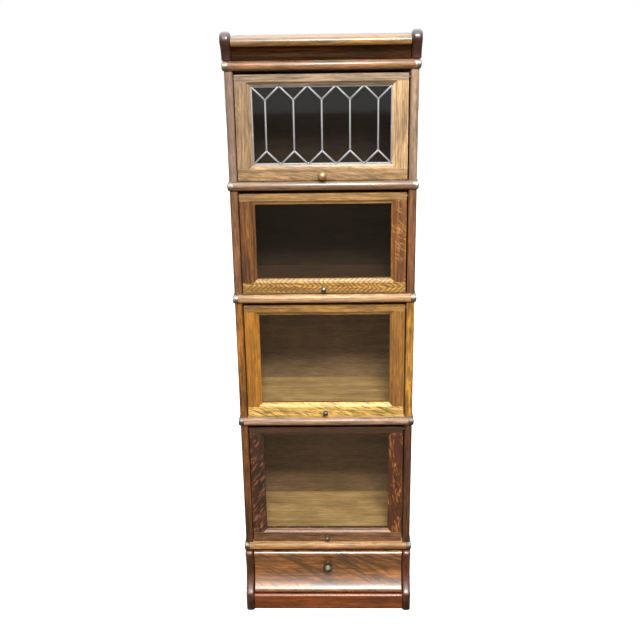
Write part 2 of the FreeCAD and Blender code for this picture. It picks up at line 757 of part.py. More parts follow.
def base_nodes():
    return {
        "base_side_right": [base_side()],
        "base_side_left": [mirrored(base_side())],
        "base_plinth": [plinth()],
        "base_deck": [base_deck()],
        "drawer_runners": drawer_runners(),
        "drawer_front": [drawer_front()],
        "drawer_sides": drawer_sides(),
        "drawer_bottom": [drawer_bottom()],
        "drawer_back": [drawer_back()],
        "drawer_knob": [knob(0, drawer_surface(), DRAWER_KNOB_Z, DRAWER_KNOB_BALL_RADIUS)],
    }


def crown_nodes():
    return {
        "crown_end_right": [crown_end()],
        "crown_end_left": [mirrored(crown_end())],
        "crown_cove": [crown_cove()],
        "crown_top_board": [crown_top_board()],
        "crown_front_rail": [front_rail(CROWN_FLOOR)],
    }


def export(nodes):
    os.makedirs("parts", exist_ok=True)
    for name, solids in nodes.items():
        shape = solids[0] if len(solids) == 1 else Part.makeCompound(solids)
        shape.translate(vector(0, FRONT_PLANE_Y, 0))
        shape.exportStep("parts/%s.step" % name)


def main():
    nodes = {}
    nodes.update(base_nodes())
    nodes.update(case_nodes())
    nodes.update(crown_nodes())
    for number in SECTIONS:
        nodes.update(section_nodes(number))
        nodes.update(door_nodes(number))
    export(nodes)


main()
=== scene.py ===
"""Looks of the sectional oak bookcase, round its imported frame. Metres, in the frame's axes."""
import json
import math
import random

import bmesh
import bpy
from mathutils import Euler, Matrix, Vector


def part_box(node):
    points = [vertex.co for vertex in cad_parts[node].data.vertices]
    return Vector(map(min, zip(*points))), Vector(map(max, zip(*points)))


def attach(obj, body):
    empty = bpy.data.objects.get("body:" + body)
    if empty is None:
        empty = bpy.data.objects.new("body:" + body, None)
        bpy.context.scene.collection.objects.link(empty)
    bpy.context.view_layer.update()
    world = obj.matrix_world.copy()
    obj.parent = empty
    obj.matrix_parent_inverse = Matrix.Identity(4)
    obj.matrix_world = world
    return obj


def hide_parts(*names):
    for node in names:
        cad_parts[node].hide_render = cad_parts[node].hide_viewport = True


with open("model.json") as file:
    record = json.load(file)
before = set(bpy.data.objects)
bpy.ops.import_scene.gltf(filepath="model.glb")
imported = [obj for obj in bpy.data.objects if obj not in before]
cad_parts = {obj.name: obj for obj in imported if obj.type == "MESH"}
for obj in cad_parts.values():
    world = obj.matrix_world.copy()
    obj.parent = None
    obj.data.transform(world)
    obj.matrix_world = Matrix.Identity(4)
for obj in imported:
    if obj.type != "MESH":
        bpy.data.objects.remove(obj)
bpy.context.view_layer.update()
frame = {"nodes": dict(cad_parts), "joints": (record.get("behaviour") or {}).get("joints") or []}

MM = 0.001
RANDOM_SEED = 11
random.seed(RANDOM_SEED)

# ---- places read from the frame ----

SECTIONS = (1, 2, 3, 4)                     # from the top down
# Sections whose insides take the oaks with painted shade.
SHADED_INSIDES = (1, 2)
LEADED_DOOR = 1
SIDES = ((-1, "left"), (1, "right"))


def lowest(node):
    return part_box(node)[0]


def highest(node):
    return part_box(node)[1]


INSIDE = highest("section1_shelf").x        # inner faces of the side boards
HALF = highest("section1_side_right").x     # their outer faces
FRONT = lowest("section1_side_right").y     # the case's front plane
REAR = highest("section1_side_right").y
FLOORS = {n: lowest("section%d_shelf" % n).z for n in SECTIONS}
TOPS = {n: highest("section%d_side_right" % n).z for n in SECTIONS}
CROWN_FLOOR = TOPS[1]
JOINTS = sorted(FLOORS.values()) + [CROWN_FLOOR]
RAIL_MIDDLE = (lowest("section1_front_rail").z + highest("section1_front_rail").z) / 2 - FLOORS[1]
RAIL_RADIUS = FRONT - lowest("section1_front_rail").y
RAIL_END = highest("section1_front_rail").x


# ---- mesh tools ----

SAME_PLACE = 1e-6


def arc(centre, radius, start, end, steps):
    """Points on a circle, from one angle to another in degrees."""
    angles = [math.radians(start + (end - start) * i / steps) for i in range(steps + 1)]
    return [(centre[0] + radius * math.cos(a), centre[1] + radius * math.sin(a)) for a in angles]


def skin(bm, near, far):
    """Faces between two closed rings of the same count."""
    for i in range(len(near)):
        j = (i + 1) % len(near)
        bm.faces.new((near[i], near[j], far[j], far[i]))


def prism(points, axis, start, end):
    """An outline run along X or Z. Its points are in the other two axes, in X, Y, Z order."""
    bm = bmesh.new()
    rings = [[bm.verts.new((at, *p) if axis == "x" else (*p, at)) for p in points]
             for at in (start, end)]
    bm.faces.new(rings[0])
    bm.faces.new(rings[1])
    skin(bm, *rings)
    bmesh.ops.recalc_face_normals(bm, faces=bm.faces)
    return bm


def block(low, high):
    return prism([(low[0], low[1]), (high[0], low[1]), (high[0], high[1]), (low[0], high[1])],
                 "z", low[2], high[2])


def side_box(side, near, far, y, z):
    """Corners of a box between two distances from the middle plane, over ranges of y and z."""
    xs = sorted((side * near, side * far))
    return (xs[0], y[0], z[0]), (xs[1], y[1], z[1])


def turned(profile, x, z):
    """A (radius, y) profile turned about a line along Y. It starts and ends on that line."""
    steps = 48
    bm = bmesh.new()
    rings = []
    for radius, y in profile:
        if radius == 0:
            rings.append([bm.verts.new((x, y, z))])
            continue
        ring = []
        for i in range(steps):
            a = 2 * math.pi * i / steps
            ring.append(bm.verts.new((x + radius * math.cos(a), y, z + radius * math.sin(a))))
        rings.append(ring)
    for near, far in zip(rings, rings[1:]):
        for i in range(steps):
            j = (i + 1) % steps
            corners = [near[i % len(near)], near[j % len(near)], far[j % len(far)],
                       far[i % len(far)]]
            bm.faces.new(list(dict.fromkeys(corners)))
    bmesh.ops.recalc_face_normals(bm, faces=bm.faces)
    return bm


def round_edges(bm, width, segments=2, angle=30):
    edges = [e for e in bm.edges
             if len(e.link_faces) == 2 and e.calc_face_angle(0) > math.radians(angle)]
    bmesh.ops.bevel(bm, geom=edges, offset=width, offset_type="OFFSET", segments=segments,
                    profile=0.5, affect="EDGES", clamp_overlap=True)


def linked(name, data):
    thing = bpy.data.objects.new(name, data)
    bpy.context.scene.collection.objects.link(thing)
    return thing


def mesh_object(name, bm):
    mesh = bpy.data.meshes.new(name)
    bm.to_mesh(mesh)
    bm.free()
    return linked(name, mesh)


def add_piece(name, bm, material, body, nodes):
    """Makes the object, lets it ride on its body and stand for its CAD nodes."""
    piece = mesh_object(name, bm)
    piece.data.materials.append(material)
    for polygon in piece.data.polygons:
        polygon.use_smooth = True
    weighted = piece.modifiers.new("even shading", "WEIGHTED_NORMAL")
    weighted.keep_sharp = True
    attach(piece, body)
    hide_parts(*nodes)
    return piece


def carve(piece, low, high):
    """Cuts a box out of a piece's mesh."""
    cutter = mesh_object("cutter", block(low, high))
    cut = piece.modifiers.new("groove", "BOOLEAN")
    cut.object = cutter
    cut.operation = "DIFFERENCE"
    piece.modifiers.move(len(piece.modifiers) - 1, 0)
    piece.modifiers["even shading"].show_viewport = False
    bpy.context.view_layer.update()
    carved = bpy.data.meshes.new_from_object(piece.evaluated_get(
        bpy.context.evaluated_depsgraph_get()))
    piece.modifiers.remove(cut)
    piece.modifiers["even shading"].show_viewport = True
    piece.data = carved
    bpy.data.objects.remove(cutter)


AXES = {"x": Vector((1, 0, 0)), "y": Vector((0, 1, 0)), "z": Vector((0, 0, 1))}
SAWN_OFF_TRUE = 0.02        # how far a board's grain may turn from its edges, in radians
TWIST = 0.025
LOG_SPREAD = 5              # how far apart the boards' places in the log may lie, in metres


def set_grain(mesh, along, through):
    """Stores each point's place in the log: along the grain, across it and through the board."""
    across = AXES[along].cross(AXES[through])
    turn = Euler([random.uniform(-most, most)
                  for most in (SAWN_OFF_TRUE, SAWN_OFF_TRUE, TWIST)]).to_matrix()
    to_log = turn @ Matrix((AXES[along], across, AXES[through]))
    shift = Vector([random.uniform(-LOG_SPREAD, LOG_SPREAD) for _ in range(3)])
    attribute = mesh.attributes.new("grain", "FLOAT_VECTOR", "POINT")
    for vertex, value in zip(mesh.vertices, attribute.data):
        value.vector = to_log @ vertex.co + shift


def set_wear(mesh, rounding):
    """Marks the middle of each rounded edge, where the finish has rubbed through: the points
    whose faces are all narrow strips of the rounding."""
    strip = 1.1 * rounding
    wide = set()
    for polygon in mesh.polygons:
        points = [mesh.vertices[index].co for index in polygon.vertices]
        longest = max((a - b).length for a, b in zip(points, points[1:] + points[:1]))
        if polygon.area > strip * longest:
            wide.update(polygon.vertices)
    attribute = mesh.attributes.new("wear", "FLOAT", "POINT")
    for vertex, value in zip(mesh.vertices, attribute.data):
        value.value = 0.0 if vertex.index in wide else 1.0


def wooden(name, bm, oak, grain, body, nodes, rounding=0.8 * MM, cuts=()):
    """A wooden piece with worn edges. grain names the axes along the grain and through the
    board, and cuts are boxes taken out of it."""
    if rounding:
        round_edges(bm, rounding)
    piece = add_piece(name, bm, oak["material"], body, nodes)
    for low, high in cuts:
        carve(piece, low, high)
    set_grain(piece.data, *grain)
    set_wear(piece.data, rounding)
    return piece


# ---- material tools ----

WHITE = (1, 1, 1)


class Nodes:
    """A small writer of shader nodes: every call adds one node and returns its useful output."""

    def __init__(self, owner, kind="Material"):
        self.owner = owner
        owner.use_nodes = True
        self.tree = owner.node_tree
        self.tree.nodes.clear()
        self.output = self.add("ShaderNodeOutput" + kind)

    def add(self, kind, **settings):
        node = self.tree.nodes.new(kind)
        for key, value in settings.items():
            setattr(node, key, value)
        return node

    def feed(self, socket, value):
        if isinstance(value, bpy.types.NodeSocket):
            self.tree.links.new(value, socket)
        elif value is not None:
            socket.default_value = value

    def grain(self):
        return self.add("ShaderNodeAttribute", attribute_name="grain").outputs["Vector"]

    def place(self):
        return self.add("ShaderNodeTexCoord").outputs["Object"]

    def turned(self, vector, angle):
        node = self.add("ShaderNodeVectorRotate", rotation_type="Z_AXIS")
        self.feed(node.inputs["Vector"], vector)
        node.inputs["Angle"].default_value = angle
        return node.outputs[0]

    def noise(self, vector, scale, detail=3.0, roughness=0.55, distortion=0.0):
        scaled = self.add("ShaderNodeVectorMath", operation="MULTIPLY")
        self.feed(scaled.inputs[0], vector)
        scaled.inputs[1].default_value = scale
        node = self.add("ShaderNodeTexNoise")
        self.feed(node.inputs["Vector"], scaled.outputs[0])
        node.inputs["Scale"].default_value = 1.0
        node.inputs["Detail"].default_value = detail
        node.inputs["Roughness"].default_value = roughness
        node.inputs["Distortion"].default_value = distortion
        return node.outputs["Fac"]

    def ramp(self, factor, *stops):
        """Stops are (place, grey) or (place, (r, g, b))."""
        node = self.add("ShaderNodeValToRGB")
        self.feed(node.inputs["Fac"], factor)
        elements = node.color_ramp.elements
        while len(elements) < len(stops):
            elements.new(0.5)
        for element, (position, colour) in zip(elements, stops):
            element.position = position
            grey = isinstance(colour, (int, float))
            element.color = (colour,) * 3 + (1,) if grey else tuple(colour) + (1,)
        return node.outputs["Color"]

    def mix(self, factor, first, second, blend="MIX"):
        node = self.add("ShaderNodeMix", data_type="RGBA", blend_type=blend)
        self.feed(node.inputs["Factor"], factor)
        for socket, value in ((node.inputs["A"], first), (node.inputs["B"], second)):
            plain = isinstance(value, tuple) and len(value) == 3
            self.feed(socket, value + (1,) if plain else value)
        return node.outputs["Result"]

    def maths(self, operation, first, second=None, clamp=False):
        node = self.add("ShaderNodeMath", operation=operation, use_clamp=clamp)
        self.feed(node.inputs[0], first)
        if second is not None:
            self.feed(node.inputs[1], second)
        return node.outputs[0]

    def times(self, first, second):
        return self.maths("MULTIPLY", first, second)

    def plus(self, first, second):
        return self.maths("ADD", first, second)

    def bump(self, height, strength, distance):
        node = self.add("ShaderNodeBump")
        self.feed(node.inputs["Height"], height)
        node.inputs["Strength"].default_value = strength
        node.inputs["Distance"].default_value = distance
        return node.outputs["Normal"]

    def surface(self, **sockets):
        """A Principled surface: sockets by name, with _ for a space."""
        shader = self.add("ShaderNodeBsdfPrincipled")
        for name, value in sockets.items():
            if isinstance(value, tuple) and len(value) == 3:
                value = value + (1,)
            self.feed(shader.inputs[name.replace("_", " ")], value)
        self.feed(self.output.inputs["Surface"], shader.outputs[0])
        return self.owner


def tone(red, green, blue):
    """A colour from its everyday 0-255 values."""
    return tuple((c / 255 / 12.92) if c < 10 else ((c / 255 + 0.055) / 1.055) ** 2.4
                 for c in (red, green, blue))


def shade(colour, share):
    return tuple(c * share for c in colour)


# Patterns in the oak: noise per metre along the grain, across it and through the board.
WAVER = (2.5, 14, 14)
GRAIN_LINES = (5.5, 210, 90)
TICKS = (26, 420, 210)
BANDS = (1.6, 42, 25)
PORES = (30, 1300, 900)
BLOTCHES = (9, 22, 22)
STREAKS = (16, 130, 30)
FLECKS = (210, 42, 16)
FLECK_PATCHES = (9, 34, 12)
CHIPS = (60, 180, 180)
WANDER = (12, 12, 12)

WAVER_REACH = 0.016         # metres, as all lengths here
WANDER_REACH = 0.04
CHEVRON_SPACING = 0.013
CHEVRON_HALF_WIDTH = 0.011
CHEVRON_SLOPE = 1.5


def stretched(pattern, size):
    return (pattern[0] / size, pattern[1] / size, pattern[2])


def waving(n, log):
    """The log's coordinates with the grain lines bent a little from side to side."""
    waver = n.noise(log, WAVER, detail=2)
    waver = n.times(n.maths("SUBTRACT", waver, 0.5), WAVER_REACH)
    offset = n.add("ShaderNodeCombineXYZ")
    n.feed(offset.inputs[1], waver)
    bent = n.add("ShaderNodeVectorMath", operation="ADD")
    n.feed(bent.inputs[0], log)
    n.feed(bent.inputs[1], offset.outputs[0])
    return bent.outputs[0]


def chevrons(n, log):
    """Ripples across the grain that lean opposite ways on either side of a wandering line."""
    parts = n.add("ShaderNodeSeparateXYZ")
    n.feed(parts.inputs[0], log)
    wander = n.times(n.maths("SUBTRACT", n.noise(log, WANDER, detail=2), 0.5), WANDER_REACH)
    centre = n.maths("PINGPONG", n.plus(parts.outputs[1], wander), CHEVRON_HALF_WIDTH)
    slope = n.times(centre, CHEVRON_SLOPE)
    along = n.plus(n.plus(parts.outputs[0], slope), wander)
    wave = n.maths("SINE", n.times(along, 2 * math.pi / CHEVRON_SPACING))
    return n.plus(n.times(wave, 0.5), 0.5)


def oak(name, slot, middle, contrast, fleck=(), streak=0.0, streak_angle=0.3, streak_size=1.0,
        zigzag=0.0, gloss=0.6, shine=0.5):
    """Old shellacked oak, in the log's coordinates: grain lines, open pores, ray flecks, darker
    figure and blotches in the finish, paler and duller where the edges are worn. A ramp's stops
    say which values of the noise count, and what is left of the colour there. A fleck is its
    colour, share, angle to the grain and size."""
    n = Nodes(bpy.data.materials.new(name))
    log = waving(n, n.grain())
    dark, light = shade(middle, 1 - 0.8 * contrast), shade(middle, 1 + 0.45 * contrast)
    figure_colour, chevron_colour = shade(middle, 0.25), shade(middle, 0.30)
    worn_colour = shade(middle, 1.7)

    lines = n.noise(log, GRAIN_LINES, detail=5, roughness=0.72)
    ticks = n.noise(log, TICKS, detail=2)
    bands = n.noise(log, BANDS, detail=2)
    pores = n.noise(log, PORES, detail=2)
    blotch = n.noise(log, BLOTCHES, detail=4, roughness=0.65)

    colour = n.ramp(lines, (0.38, dark), (0.50, middle), (0.62, light))
    colour = n.mix(0.5 * contrast + 0.3, colour, n.ramp(bands, (0.38, 0.6), (0.60, 1.1)),
                   "MULTIPLY")
    if streak:
        figure = n.noise(n.turned(log, streak_angle), stretched(STREAKS, streak_size), detail=3,
                         roughness=0.55, distortion=1.6)
        figure = n.ramp(figure, (0.48, 0.0), (0.60, 1.0))
        colour = n.mix(n.times(figure, streak), colour, figure_colour)
    if zigzag:
        figure = n.ramp(chevrons(n, log), (0.35, 0.0), (0.85, 1.0))
        colour = n.mix(n.times(figure, zigzag), colour, chevron_colour)
    if fleck:
        fleck_colour, share, angle, size = fleck
        figure = n.noise(n.turned(log, angle), stretched(FLECKS, size), detail=1, roughness=0.4,
                         distortion=0.8)
        patchy = n.noise(log, FLECK_PATCHES, detail=1)
        mask = n.times(n.ramp(figure, (0.53, 0.0), (0.61, 1.0)),
                       n.ramp(patchy, (0.36, 0.0), (0.52, 1.0)))
        colour = n.mix(n.times(mask, share), colour, fleck_colour)
    colour = n.mix(contrast, colour, n.ramp(ticks, (0.40, 0.45), (0.55, 1.1)), "MULTIPLY")
    colour = n.mix(0.5, colour, n.ramp(pores, (0.36, 0.25), (0.48, 1.0)), "MULTIPLY")
    colour = n.mix(0.6, colour, n.ramp(blotch, (0.32, 0.5), (0.60, 1.12)), "MULTIPLY")

    worn = n.add("ShaderNodeAttribute", attribute_name="wear").outputs["Fac"]
    chips = n.ramp(n.noise(log, CHIPS, detail=3), (0.42, 0.0), (0.58, 1.0))
    worn = n.times(worn, chips)
    colour = n.mix(n.times(worn, 0.45), colour, worn_colour)

    rough = n.plus(n.times(blotch, 0.25), 0.42 - 0.12 * gloss)
    rough = n.maths("ADD", rough, n.times(worn, 0.2), clamp=True)
    height = n.plus(n.times(lines, 0.5), n.times(pores, 0.8))
    material = n.surface(
        Base_Color=colour, Roughness=rough, Normal=n.bump(height, 0.22, 0.25 * MM),
        Specular_IOR_Level=shine, Coat_Weight=0.5 * gloss, Coat_Roughness=0.2)
    return {"material": material, "slot": slot}


METAL_CLOUDS = (90, 90, 90)
METAL_GRIT = (1400, 1400, 1400)


def metal(name, colour, tarnish, roughness, share, metallic=1.0):
    """Aged metal: tarnish in patches over a share of it, fine grit, and a brighter rubbed
    surface between."""
    n = Nodes(bpy.data.materials.new(name))
    at = n.place()
    cloud = n.noise(at, METAL_CLOUDS, detail=4, roughness=0.65)
    grit = n.noise(at, METAL_GRIT, detail=2)
    tarnished = 0.62 - 0.3 * share
    rubbed = tarnished + 0.22
    base = n.mix(n.ramp(cloud, (tarnished, 1.0), (rubbed, 0.0)), colour, tarnish)
    base = n.mix(0.35, base, n.ramp(grit, (0.35, 0.55), (0.6, 1.0)), "MULTIPLY")
    rough = n.plus(n.times(cloud, 0.3), roughness - 0.12)
    return n.surface(Base_Color=base, Metallic=metallic, Roughness=rough,
                     Normal=n.bump(cloud, 0.12, 0.3 * MM))


GLASS_WAVES = (9, 9, 5)
GLASS_SMEARS = (30, 30, 16)
GLASS_TINT = (0.90, 0.91, 0.88, 1)
FACE_MIRROR = 0.022         # how much the glass mirrors, seen straight on
EDGE_MIRROR = 0.9           # and how much more at a grazing angle
MIRROR_POWER = 5


def clear_glass():
    """Old sheet glass: it lets light through, mirrors a little, and is slightly uneven."""
    n = Nodes(bpy.data.materials.new("old_sheet_glass"))
    wave = n.noise(n.place(), GLASS_WAVES, detail=0)
    smear = n.noise(n.place(), GLASS_SMEARS, detail=4, roughness=0.6)
    normal = n.bump(wave, 0.1, 0.5 * MM)
    through = n.add("ShaderNodeBsdfTransparent")
    n.feed(through.inputs["Color"], GLASS_TINT)
    mirror = n.add("ShaderNodeBsdfGlossy")
    n.feed(mirror.inputs["Color"], (*WHITE, 1))
    n.feed(mirror.inputs["Roughness"], n.times(smear, 0.07))
    n.feed(mirror.inputs["Normal"], normal)
    edge = n.add("ShaderNodeLayerWeight")
    n.feed(edge.inputs["Normal"], normal)
    edge = n.times(n.maths("POWER", edge.outputs["Facing"], MIRROR_POWER), EDGE_MIRROR)
    both = n.add("ShaderNodeMixShader")
    n.feed(both.inputs[0], n.plus(edge, FACE_MIRROR))
    n.feed(both.inputs[1], through.outputs[0])
    n.feed(both.inputs[2], mirror.outputs[0])
    n.feed(n.output.inputs["Surface"], both.outputs[0])
    return n.owner


# ---- materials ----

GOLD_FLECK = tone(176, 122, 52)

OAKS = {}
FAMILIES = {1: "oak_tan", 2: "oak_russet", 3: "oak_golden", 4: "oak_dark"}


def board(number, part, colour, contrast, *fleck, **looks):
    """The oak of one board of a glazed section: each section, and each board in it, has its own
    tone.
    """
    family = FAMILIES[number]
    OAKS[number, part] = oak(family + "_" + part, family, tone(*colour), contrast, fleck, **looks)


def other(key, name, slot, colour, contrast, **looks):
    OAKS[key] = oak(name, slot, tone(*colour), contrast, **looks)


# Section 1's greyish pink tones are partly the oak's own colour and partly a painted milky sheen
# reflected off its finish.
board(1, "post_left", (119, 97, 83), 0.46)
board(1, "post_right", (146, 120, 97), 0.46)
board(1, "stile_left", (134, 110, 81), 0.6, tone(176, 132, 66), 0.4, 1.35, 0.7)
board(1, "stile_right", (188, 156, 115), 0.5, tone(196, 150, 84), 0.35, 1.2, 0.7)
board(1, "rail_top", (143, 121, 98), 0.61)
board(1, "rail_bottom", (165, 132, 92), 0.6, streak=0.55, streak_angle=0.25, gloss=0.25)
board(1, "half_round", (122, 89, 58), 0.75, streak=0.3, streak_angle=0.1, gloss=1.1, shine=0.8)
board(2, "post_left", (112, 75, 47), 0.68)
board(2, "post_right", (120, 77, 44), 0.68)
board(2, "stile_left", (110, 66, 22), 0.85, streak=0.3, streak_angle=0.05)
board(2, "stile_right", (117, 73, 32), 0.75, tone(190, 134, 66), 0.65, 0.62, 1.2)
board(2, "rail_top", (145, 110, 64), 0.6)
board(2, "rail_bottom", (183, 138, 68), 0.61, zigzag=0.9, gloss=0.25)
board(2, "half_round", (183, 145, 106), 0.6, GOLD_FLECK, 0.5, 0.1, 0.8, gloss=0.35)
board(3, "post_left", (139, 88, 28), 0.82)
board(3, "post_right", (189, 136, 55), 0.82)
board(3, "stile_left", (160, 107, 30), 0.4, streak=0.3, streak_angle=0.05)
board(3, "stile_right", (146, 101, 42), 0.4, streak=0.3, streak_angle=0.05)
board(3, "rail_top", (161, 119, 58), 0.6, streak=0.6, streak_angle=0.12)
board(3, "rail_bottom", (232, 190, 105), 0.54, streak=0.9, streak_angle=0.4, streak_size=0.9,
      gloss=0.25)
board(3, "half_round", (151, 122, 99), 0.75, tone(158, 112, 70), 0.7, 0.05, 0.6)
board(4, "post_left", (96, 56, 22), 0.82)
board(4, "post_right", (83, 45, 21), 0.82)
board(4, "stile_left", (48, 20, 6), 0.68, tone(126, 80, 50), 0.95, -0.85, 1.05)
board(4, "stile_right", (84, 38, 15), 0.82, tone(168, 112, 48), 0.8, 1.42, 0.85)
board(4, "rail_top", (66, 37, 16), 0.82)
board(4, "rail_bottom", (119, 83, 55), 0.82, tone(132, 88, 48), 0.6, 0.15, 0.7, gloss=0.25)
board(4, "half_round", (165, 125, 83), 0.6, GOLD_FLECK, 0.4, 0.1, 0.8, gloss=0.2, shine=0.3)
other("base_end", "oak_red_base_end", "oak_base", (90, 40, 17), 0.75, gloss=1.0)
other("drawer_front", "oak_red_drawer_front", "oak_base", (150, 93, 39), 0.7, streak=0.9,
      streak_angle=0.45, streak_size=2.6, gloss=1.9, shine=1.0)
other("plinth", "oak_red_plinth", "oak_base", (125, 61, 15), 0.68, streak=0.3, streak_angle=0.05,
      gloss=0.9)
other("crown_end", "oak_crown_end", "oak_crown", (51, 17, 9), 0.75, gloss=1.0)
other("crown", "oak_crown_moulding", "oak_crown", (128, 94, 49), 0.7, gloss=0.8, shine=0.6)
# The cove's near-black brown is painted shade of the hollow under the crown's nose, laid over the
# oak's own brown.
other("crown_cove", "oak_crown_cove_painted_shade", "oak_crown", (45, 24, 6), 0.8, gloss=0.0, shine=0.05)
other("crown_rail", "oak_crown_half_round", "oak_crown", (142, 101, 66), 0.82, streak=0.3,
      streak_angle=0.1, gloss=0.8)
# The dim oaks are painted shade: darker copies of the warm inside oak, for the shaded insides of
# the two upper sections and for hidden parts. The back boards are darker than the shelves, partly
# from the oak's own colour and partly from painted shade at the back of the case.
other("dim", "oak_inside_painted_shade", "inner_wood", (91, 69, 56), 0.25, gloss=0.1, shine=0.2)
other("warm", "oak_inside_warm", "inner_wood", (215, 176, 122), 0.3, gloss=0.2, shine=0.3)
other("back_dim", "oak_back_painted_shade", "inner_wood", (54, 40, 33), 0.2, gloss=0.1, shine=0.2)
other("back_warm", "oak_back_warm", "inner_wood", (144, 117, 92), 0.2, gloss=0.1, shine=0.2)

GLASS = clear_glass()
CAME = metal("zinc_came_grey", (0.42, 0.44, 0.47), (0.24, 0.25, 0.27), 0.55, share=0.2,
             metallic=0.7)
BAND = metal("band_worn_steel", (0.42, 0.41, 0.40), (0.18, 0.16, 0.13), 0.50, share=0.4)
# A darker copy of the band steel, for the two lowest joints.
LOW_JOINT_BAND = metal("band_steel_low_joints", (0.24, 0.23, 0.20), (0.10, 0.08, 0.06), 0.55, share=0.55)
BRASS = metal("knob_worn_brass", (0.66, 0.50, 0.34), (0.36, 0.22, 0.12), 0.50, share=0.35,
              metallic=0.8)
BRONZE = metal("knob_dark_brass", (0.32, 0.31, 0.25), (0.08, 0.07, 0.05), 0.40, share=0.5)
STEEL = metal("rod_drawn_steel", (0.24, 0.23, 0.22), (0.10, 0.09, 0.08), 0.50, share=0.4)


# ---- the sections ----

CUT_PAST = 1 * MM           # a cutting box reaches this far past the face it starts from


def side_outline(side):
    """A side board seen from above, with its front edges rounded."""
    radius = 6 * MM
    steps = 6
    points = arc((HALF - radius, FRONT + radius), radius, 0, -90, steps)
    points += arc((INSIDE + radius, FRONT + radius), radius, -90, -180, steps)
    points += [(INSIDE, REAR), (HALF, REAR)]
    return [(side * x, y) for x, y in points]


def groove_box(number, side):
    """The groove for a door's shoe, as the frame's carriage needs it."""
    low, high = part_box("door%d_pivot_carriage" % number)
    travel = next(j["range_m"][1] for j in frame["joints"] if j["name"] == "door%d_slide" % number)
    gap = 0.25 * MM
    return side_box(side, INSIDE - CUT_PAST, high.x + gap, (low.y - gap, high.y + travel + gap),
                    (low.z - gap, high.z + gap))


def whole_board(node, wood, grain, body, rounding=0.8 * MM):
    """A square board of its CAD node's size."""
    wooden(node + "_board", block(*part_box(node)), OAKS[wood], grain, body, [node],
           rounding=rounding)


def back_board(unit, low, high, wood, grain):
    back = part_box("back_panels")
    wooden(unit + "_back_board", block((-INSIDE, back[0].y, low), (INSIDE, back[1].y, high)),
           OAKS[wood], grain, "case", ["back_panels"], rounding=0.4 * MM)


def section(number):
    name = "section%d" % number
    low, high = FLOORS[number], TOPS[number]
    for side, word in SIDES:
        wooden(name + "_board_" + word, prism(side_outline(side), "z", low, high),
               OAKS[number, "post_" + word], ("z", "x"), "case", ["%s_side_%s" % (name, word)],
               rounding=0.5 * MM, cuts=[groove_box(number, side)])
    # The upper sections' insides take the copies with painted shade.
    shelf, panel = ("dim", "back_dim") if number in SHADED_INSIDES else ("warm", "back_warm")
    whole_board(name + "_shelf", shelf, ("x", "z"), "case")
    front_rail(name + "_half_round", low, OAKS[number, "half_round"], name + "_front_rail")
    back_board(name, low, high, panel, ("x", "z"))


def front_rail(name, joint, wood, node):
    middle = joint + RAIL_MIDDLE
    outline = arc((FRONT, middle), RAIL_RADIUS, -90, -270, 20)
    wooden(name, prism(outline, "x", -RAIL_END, RAIL_END), wood, ("x", "y"), "case", [node],
           rounding=0)


def cross_rails(unit, half, low, high):
    """The two rails across the open top of a unit, at its front and its back."""
    first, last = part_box("top_cross_rails")
    width = 40 * MM
    for index, y in enumerate((first.y, last.y - width)):
        wooden("%s_cross_rail_%d" % (unit, index + 1),
               block((-half, y, low), (half, y + width, high)), OAKS["dim"], ("x", "z"), "case",
               ["top_cross_rails"])


def top_frames():
    """Cross rails at the open top of each unit, and the cleats above the doors."""
    guide_low, guide_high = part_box("door_guides")
    guide_width = 14 * MM
    guide_above_pivot = 11 * MM
    rail_thickness = 9 * MM
    for number in SECTIONS:
        high = TOPS[number]
        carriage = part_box("door%d_pivot_carriage" % number)
        pivot = (carriage[0].z + carriage[1].z) / 2
        cross_rails("section%d" % number, INSIDE - guide_width, high - rail_thickness, high)
        for side, word in SIDES:
            corners = side_box(side, INSIDE - guide_width, INSIDE, (guide_low.y, guide_high.y),
                               (pivot + guide_above_pivot, high))
            wooden("section%d_guide_%s" % (number, word), block(*corners), OAKS["dim"],
                   ("y", "x"), "case", ["door_guides"], rounding=0.6 * MM)
    cross_rails("base", INSIDE, lowest("top_cross_rails").z, FLOORS[4])


def band(joint, side, word):
    """Metal strip along the side, swelling round the corner to cap the half-round rail.
    A station is a place on the case and how far the strip stands out there, in x and in y."""
    middle = joint + RAIL_MIDDLE
    half_height = 11.5 * MM
    side_proud, front_proud = highest("joint_bands").x - HALF, half_height
    corner_steps, steps = 8, 12
    stations = [(HALF, REAR, side_proud, 0)]
    for i in range(corner_steps + 1):
        turn = math.pi / 2 * i / corner_steps
        stations.append((HALF, FRONT, side_proud * math.sqrt(max(0, math.cos(turn))),
                         front_proud * math.sqrt(math.sin(turn))))
    stations.append((RAIL_END, FRONT, 0, front_proud))
    bm = bmesh.new()
    rings = []
    for x, y, out_x, out_y in stations:
        ring = []
        for i in range(steps + 1):
            a = math.radians(-90 + 180 * i / steps)
            ring.append(bm.verts.new((side * (x + out_x * math.cos(a)), y - out_y * math.cos(a),
                                      middle + half_height * math.sin(a))))
        rings.append(ring)
    for near, far in zip(rings, rings[1:]):
        for i in range(steps):
            bm.faces.new((near[i], near[i + 1], far[i + 1], far[i]))
        bm.faces.new((near[0], far[0], far[-1], near[-1]))
    bm.faces.new(rings[0])
    bm.faces.new(rings[-1])
    bmesh.ops.remove_doubles(bm, verts=bm.verts, dist=SAME_PLACE)
    bmesh.ops.recalc_face_normals(bm, faces=bm.faces)
    round_edges(bm, 0.5 * MM, 1, angle=60)
    name = "joint_band_%s_%d" % (word, 1 + JOINTS.index(joint))
    # The two lowest joints take a darker copy of the steel.
    steel = BAND if joint > FLOORS[3] else LOW_JOINT_BAND
    add_piece(name, bm, steel, "case", ["joint_bands"])


# ---- doors ----

